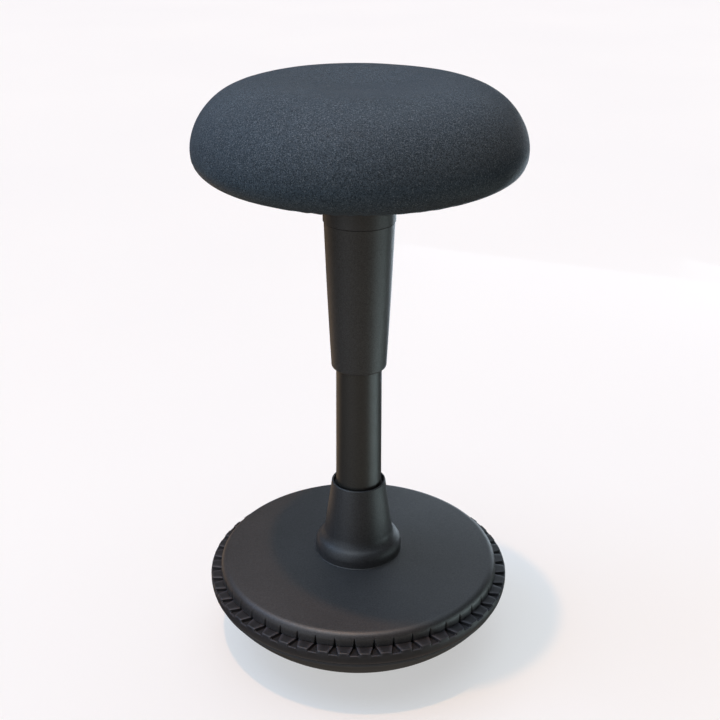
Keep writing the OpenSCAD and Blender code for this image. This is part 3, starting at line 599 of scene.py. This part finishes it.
def foot_side(t):
    """The foot's underside from the flat to the top of the flank, t inside the outer surface."""
    start = math.degrees(math.asin(FOOT_FLAT_R / DOME_R))
    centre_z = DOME_R * math.cos(math.radians(start))
    edge_sin, edge_cos = math.sin(math.radians(DOME_EDGE)), math.cos(math.radians(DOME_EDGE))
    flank = (FOOT_R - DOME_R * edge_sin) / (math.sin(math.radians(FLANK_TOP)) - edge_sin)
    flank_c = ((DOME_R - flank) * edge_sin, centre_z - (DOME_R - flank) * edge_cos)
    return (arc((0.0, centre_z), DOME_R - t, start - 90, DOME_EDGE - 90, 10)
            + arc(flank_c, flank - t, DOME_EDGE - 90, FLANK_TOP - 90, 24)[1:])


def make_foot():
    """The domed rubber foot that the stool rocks on."""
    top_z = top("rocker_foot")
    lip_r = reach("rocker_foot")
    outline = [(0.0, 0.0), (20 * MM, 0.0), (FOOT_FLAT_R - 2 * MM, 0.0)] + foot_side(0.0)
    outline += [(lip_r, top_z - 3 * MM), (lip_r, top_z - 0.5 * MM), (lip_r - 0.5 * MM, top_z),
                (FOOT_LIP_R, top_z), (FOOT_LIP_R, FOOT_SEAT_Z), (FOOT_SEAT_R, FOOT_SEAT_Z)]
    outline += [p for p in foot_side(FOOT_T)[::-1] if p[0] < FOOT_SEAT_R] + [(0.0, FOOT_T)]
    piece = lathe("rocker_foot_moulding", outline)
    cut_screw_sinks(piece)
    dress(piece, "foot_rubber")
    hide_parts("rocker_foot")
    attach(piece, "base")


def cut_screw_sinks(piece):
    """Sinks for the screw heads, cut through the foot where the CAD has them."""
    build = bmesh.new()
    for k in range(SINK_COUNT):
        a = math.radians(SINK_FIRST + 360 // SINK_COUNT * k)
        made = bmesh.ops.create_cone(build, cap_ends=True, segments=48, radius1=SINK_R, radius2=SINK_R,
                                     depth=SINK_DEPTH)["verts"]
        place = (SINK_CIRCLE_R * math.cos(a), SINK_CIRCLE_R * math.sin(a), SINK_MID_Z)
        bmesh.ops.translate(build, verts=made, vec=place)
    data = bpy.data.meshes.new("sinks")
    build.to_mesh(data)
    build.free()
    cutter = bpy.data.objects.new("sinks", data)
    bpy.context.scene.collection.objects.link(cutter)
    cut = piece.modifiers.new("sinks", "BOOLEAN")
    cut.object = cutter
    cut.operation = "DIFFERENCE"
    cut.solver = "EXACT"
    apply_modifiers(piece)
    bpy.data.objects.remove(cutter)
    finish_mesh(piece, 40.0)


make_foot()


# ---------------------------------------------------------------- cushion

SEAT_R = reach("seat_cover")
SEAT_Z = 591 * MM                # height of the cushion's widest ring
CROWN_H = 66.4 * MM
CROWN_SIDE = 5.14                # exponents of the crown's superellipse, along r and z
CROWN_RISE = 1.67
CROWN_SPLIT = 132                # in mm; the outline is even in r inside this radius, and in angle outside
BELLY_H = 44.7 * MM
BELLY_SIDE = 2.5                 # exponents of the belly's superellipse
BELLY_RISE = 3.03
DISH_R = 112 * MM
DISH_DEPTH = 9 * MM
HEM_Z = 557.9 * MM
HEM_FLAT_R = 112 * MM            # the underside is flat inside this radius
HEM_OPEN_R = 97 * MM             # the cover ends here on its underside
ROLL_R = 136 * MM                # inside this radius the underside is held fast in the simulation
COVER_T = 1.6 * MM
START_INSET = 1.0 * MM           # the cover starts this much smaller than the cushion, and
START_HEIGHT = 0.985             # with its crown at this share of its height, before it is swelled
VOXEL = 4.5 * MM
PLEATS = 52                      # gathers round the underside
PLEAT_DEPTH = 0.8 * MM


def dish(r):
    """Depth of the shallow dish in the top at radius r."""
    return DISH_DEPTH * (1 + math.cos(math.pi * r / DISH_R)) / 2 if r < DISH_R else 0.0


def crown_z(r):
    """Height of the cushion's upper side at radius r."""
    return SEAT_Z - dish(r) + CROWN_H * max(0.0, 1 - (r / SEAT_R) ** CROWN_SIDE) ** (1 / CROWN_RISE)


def belly_z(r):
    """Height of the cushion's underside at radius r, flat inside the hem."""
    own = SEAT_Z - BELLY_H * max(0.0, 1 - (r / SEAT_R) ** BELLY_SIDE) ** (1 / BELLY_RISE)
    s = smooth((r - HEM_FLAT_R) / (ROLL_R - HEM_FLAT_R))
    return s * own + (1 - s) * HEM_Z


def cushion_outline():
    """From the middle of the top, round the edge and under to the middle."""
    upper = [(r * MM, crown_z(r * MM)) for r in range(0, CROWN_SPLIT, 3)]
    start = math.degrees(math.acos((CROWN_SPLIT * MM / SEAT_R) ** (CROWN_SIDE / 2)))
    for t in np.radians(np.linspace(start, 0.5, 40)):
        upper.append((SEAT_R * math.cos(t) ** (2 / CROWN_SIDE),
                      SEAT_Z + CROWN_H * math.sin(t) ** (2 / CROWN_RISE)))
    lower = []
    for t in np.radians(np.linspace(0, 40, 30)):
        r = SEAT_R * math.cos(t) ** 0.8
        lower.append((r, belly_z(r)))
    last = lower[-1][0]
    lower += [(r, belly_z(r)) for r in np.linspace(last, HEM_FLAT_R, 16)[1:]]
    return upper + lower + [(100 * MM, HEM_Z), (60 * MM, HEM_Z), (0.0, HEM_Z)]


def simulate(piece, frames=20, pressure=4.0, cap=3.0 * MM):
    """Swells the cover with cloth pressure over its foam, and caps how far any point moves."""
    start = np.array([v.co for v in piece.data.vertices])
    pins = piece.vertex_groups.new(name="pins")
    for v in piece.data.vertices:
        r = math.hypot(v.co.x, v.co.y)
        held = 1.0 if v.co.z < SEAT_Z and r < ROLL_R else 0.45
        pins.add([v.index], held, "REPLACE")
    cloth = piece.modifiers.new("cloth", "CLOTH")
    cloth.settings.quality = 6
    cloth.settings.mass = 0.3
    cloth.settings.use_pressure = True
    cloth.settings.uniform_pressure_force = pressure
    cloth.settings.vertex_group_mass = "pins"
    cloth.settings.pin_stiffness = 2.0
    cloth.settings.effector_weights.gravity = 0.0
    cloth.collision_settings.use_collision = False
    cloth.collision_settings.use_self_collision = False
    scene = bpy.context.scene
    for f in range(1, frames + 1):
        scene.frame_set(f)
    apply_modifiers(piece)
    scene.frame_set(1)
    end = np.array([v.co for v in piece.data.vertices])
    move = end - start
    length = np.linalg.norm(move, axis=1, keepdims=True)
    end = start + move * np.minimum(1.0, cap / np.maximum(length, 1e-9))
    piece.data.vertices.foreach_set("co", end.ravel())
    piece.data.update()


def relax_surface(co):
    """Slow unevenness of hand-pulled fabric over moulded foam, and pleats where it is gathered under."""
    p = Vector(co)
    r = math.hypot(p.x, p.y)
    a = math.atan2(p.y, p.x)
    out = Vector((p.x, p.y, 0)).normalized() if r > 1e-6 else Vector((0, 0, 0))
    slow = noise.noise(p * 14.0) * 0.7 * MM + noise.noise(p * 38.0 + Vector((3, 1, 7))) * 0.22 * MM
    p += (out * 0.7 + Vector((0, 0, 0.5 if p.z > SEAT_Z else -0.3))) * slow
    if p.z < SEAT_Z - 8 * MM:
        strength = smooth((SEAT_R - 14 * MM - r) / (30 * MM))
        wobble = noise.noise(Vector((math.cos(a) * 3, math.sin(a) * 3, 0.5)))
        folds = math.sin(PLEATS * a + 5.0 * wobble) * (0.65 + 0.35 * math.sin(7 * a + 1.0))
        p.z += strength * folds * PLEAT_DEPTH
    return p


def make_cushion():
    """The padded seat: a crowned closed form, swelled by cloth pressure, with its hem turned under."""
    outline = [(max(0.0, r - START_INSET), SEAT_Z + (z - SEAT_Z) * START_HEIGHT if z > SEAT_Z else z)
               for r, z in cushion_outline()]
    piece = lathe("cushion_cover", outline, 240)
    remesh = piece.modifiers.new("remesh", "REMESH")
    remesh.mode = "VOXEL"
    remesh.voxel_size = VOXEL
    apply_modifiers(piece)
    simulate(piece)
    even = piece.modifiers.new("even", "SMOOTH")
    even.iterations = 6
    even.factor = 0.5
    divide = piece.modifiers.new("divide", "SUBSURF")
    divide.levels = 1
    divide.render_levels = 1
    apply_modifiers(piece)
    fit_to_node(piece, "seat_cover")
    for v in piece.data.vertices:
        v.co = relax_surface(v.co)
    open_hem(piece)
    thick = piece.modifiers.new("cloth_thickness", "SOLIDIFY")
    thick.thickness = COVER_T
    thick.offset = -1.0
    apply_modifiers(piece)
    finish_mesh(piece, 60.0)
    dress(piece, "seat_fabric")
    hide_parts("seat_cover")
    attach(piece, "seat")


def fit_to_node(piece, node):
    """Scales a round piece about its widest ring so that it fills its CAD node's box."""
    low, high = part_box(node)
    points = np.array([v.co for v in piece.data.vertices])
    across = high.x / np.hypot(points[:, 0], points[:, 1]).max()
    up = (high.z - SEAT_Z) / (points[:, 2].max() - SEAT_Z)
    down = (SEAT_Z - low.z) / (SEAT_Z - points[:, 2].min())
    points[:, :2] *= across
    points[:, 2] = SEAT_Z + (points[:, 2] - SEAT_Z) * np.where(points[:, 2] > SEAT_Z, up, down)
    piece.data.vertices.foreach_set("co", points.ravel())


def open_hem(piece):
    """Removes the middle of the underside, so that the cover ends at its hem."""
    build = bmesh.new()
    build.from_mesh(piece.data)
    gone = [f for f in build.faces if f.calc_center_median().z < HEM_Z + 4 * MM
            and math.hypot(*f.calc_center_median().xy) < HEM_OPEN_R]
    bmesh.ops.delete(build, geom=gone, context="FACES")
    build.to_mesh(piece.data)
    build.free()


make_cushion()


# ---------------------------------------------------------------- floor, light, camera

FLOOR_HALF = 40.0                # metres, far enough to pass behind the whole picture


def make_floor():
    """A pale floor that catches the stool's shadow and is clear from below."""
    data = bpy.data.meshes.new("floor")
    corners = [(x * FLOOR_HALF, y * FLOOR_HALF, 0) for x, y in ((-1, -1), (1, -1), (1, 1), (-1, 1))]
    data.from_pydata(corners, [], [(0, 1, 2, 3)])
    floor = bpy.data.objects.new("floor", data)
    bpy.context.scene.collection.objects.link(floor)
    s = Shader("floor")
    s.colour(s.ramp(s.noise(0.8, 2.0), [(0.3, (0.41, 0.41, 0.415)), (0.7, (0.43, 0.43, 0.43))]))
    s.set(roughness=0.9, specular_ior_level=0.1, emission_color=(1.0, 1.0, 1.0, 1.0), emission_strength=0.5)
    clear = s.tree.nodes.new("ShaderNodeBsdfTransparent").outputs["BSDF"]
    seen = s.tree.nodes.new("ShaderNodeMixShader")
    s.link(s.tree.nodes.new("ShaderNodeNewGeometry").outputs["Backfacing"], seen.inputs[0])
    s.link(s.bsdf.outputs["BSDF"], seen.inputs[1])
    s.link(clear, seen.inputs[2])
    s.link(seen.outputs["Shader"], s.tree.nodes["Material Output"].inputs["Surface"])
    data.materials.append(s.material)
    floor.visible_diffuse = False
    floor.visible_glossy = False
    floor.visible_shadow = False


def sun(name, azimuth, elevation, strength, spread, colour, gloss=True):
    """A soft distant light; azimuth 0 comes from the front, 90 from the right. Without gloss it adds no
    highlight."""
    data = bpy.data.lights.new(name, "SUN")
    data.energy = strength
    data.angle = math.radians(spread)
    data.color = colour
    light = bpy.data.objects.new(name, data)
    bpy.context.scene.collection.objects.link(light)
    a, e = math.radians(azimuth), math.radians(elevation)
    toward = Vector((math.sin(a) * math.cos(e), -math.cos(a) * math.cos(e), math.sin(e)))
    light.rotation_mode = "QUATERNION"
    light.rotation_quaternion = toward.to_track_quat("Z", "Y")
    light.visible_glossy = gloss


def panel(name, place, target, size, radiance, colour):
    """A board that shows only as a reflection in the glossy surfaces."""
    data = bpy.data.lights.new(name, "AREA")
    data.shape = "RECTANGLE"
    data.size, data.size_y = size
    data.energy = radiance * math.pi * size[0] * size[1]
    data.color = colour
    light = bpy.data.objects.new(name, data)
    bpy.context.scene.collection.objects.link(light)
    light.visible_diffuse = False
    light.visible_camera = False
    light.location = place
    light.rotation_mode = "QUATERNION"
    light.rotation_quaternion = (Vector(place) - Vector(target)).to_track_quat("Z", "Y")


BACKDROP = (0.86, 0.86, 0.87, 1.0)


def make_world():
    """Dim surroundings, a little brighter overhead, behind a pale backdrop that only the camera sees."""
    world = bpy.data.worlds.new("studio")
    bpy.context.scene.world = world
    world.use_nodes = True
    tree = world.node_tree
    background = tree.nodes["Background"]
    coords = tree.nodes.new("ShaderNodeTexCoord")
    split = tree.nodes.new("ShaderNodeSeparateXYZ")
    ramp = tree.nodes.new("ShaderNodeValToRGB")
    height = tree.nodes.new("ShaderNodeMapRange")
    height.inputs["From Min"].default_value = -1.0
    tree.links.new(coords.outputs["Generated"], split.inputs["Vector"])
    tree.links.new(split.outputs["Z"], height.inputs["Value"])
    tree.links.new(height.outputs["Result"], ramp.inputs["Fac"])
    glow = ((0.30, (0.044, 0.038, 0.032)), (0.50, (0.052, 0.046, 0.040)), (0.62, (0.062, 0.055, 0.048)),
            (0.85, (0.080, 0.072, 0.066)))
    elements = ramp.color_ramp.elements
    while len(elements) < len(glow):
        elements.new(0.5)
    for element, (place, colour) in zip(elements, glow):
        element.position = place
        element.color = (*colour, 1.0)
    backdrop = tree.nodes.new("ShaderNodeMix")
    backdrop.data_type = "RGBA"
    backdrop.inputs[7].default_value = BACKDROP
    tree.links.new(tree.nodes.new("ShaderNodeLightPath").outputs["Is Camera Ray"], backdrop.inputs[0])
    tree.links.new(ramp.outputs["Color"], backdrop.inputs[6])
    tree.links.new(backdrop.outputs[2], background.inputs["Color"])
    background.inputs["Strength"].default_value = 1.0


def make_lights():
    """Soft light from above and the left, a warm ceiling lamp, fills, and boards for the reflections."""
    sun("ceiling", 180, 84, 1.7, 70, (0.74, 0.85, 0.96))
    sun("window", -95, 48, 1.15, 40, (0.46, 0.67, 1.0))
    sun("fill", -45, 15, 0.95, 60, (0.78, 0.88, 1.0))
    sun("ceiling_lamp", -66, 81.5, 1.25, 2, (1.0, 0.50, 0.20))
    sun("rear_fill", 165, 12, 0.9, 60, (0.90, 0.96, 1.0), False)
    sun("floor_bounce", 0, -65, 0.8, 120, (1.0, 0.82, 0.66))
    panel("right_floor", (1.0, -0.15, -0.12), (0, 0, 0.3), (0.9, 0.6), 2.8, (0.78, 0.97, 1.0))
    panel("right_back", (0.95, 1.2, 0.05), (0, 0, 0.1), (0.5, 0.35), 3.5, (0.76, 0.90, 1.0))
    panel("back_right", (0.5, 1.3, 0.15), (0, 0, 0.15), (0.9, 0.8), 2.7, (0.74, 0.87, 1.0))
    panel("left_back_floor", (-0.85, 0.75, -0.12), (0, 0, 0.25), (0.9, 0.6), 0.8, (1.0, 0.7, 0.45))
    panel("front_floor", (0.1, -1.1, -0.35), (0, 0, 0.1), (2.0, 0.7), 0.2, (0.9, 1.0, 0.95))
    panel("front_left_top", (-0.36, -0.46, 1.5), (0, 0, 0.12), (0.7, 0.7), 7.5, (0.84, 0.93, 1.0))
    panel("rear_top", (0.2, 0.7, 1.96), (0, -0.1, 0.65), (0.5, 0.5), 7.0, (0.86, 0.94, 1.0))


PITCH = 24.225                   # degrees below the horizon
LENS = 57.0                      # mm, on a 36 mm wide sensor
CAMERA_BACK = 1151 * MM
CAMERA_Z = 867 * MM
CAMERA_X = 1.1 * MM
CAMERA_ROLL = 0.2                # degrees


def make_camera():
    """The camera of the main view."""
    data = bpy.data.cameras.new("camera")
    data.lens = LENS
    data.sensor_width = 36.0
    camera = bpy.data.objects.new("camera", data)
    bpy.context.scene.collection.objects.link(camera)
    camera.location = (CAMERA_X, -CAMERA_BACK, CAMERA_Z)
    camera.rotation_mode = "QUATERNION"
    tilt = Quaternion((1, 0, 0), math.radians(90 - PITCH))
    camera.rotation_quaternion = tilt @ Quaternion((0, 0, 1), math.radians(CAMERA_ROLL))
    bpy.context.scene.camera = camera


make_floor()
make_world()
make_lights()
make_camera()
bpy.context.scene.view_settings.view_transform = "Standard"
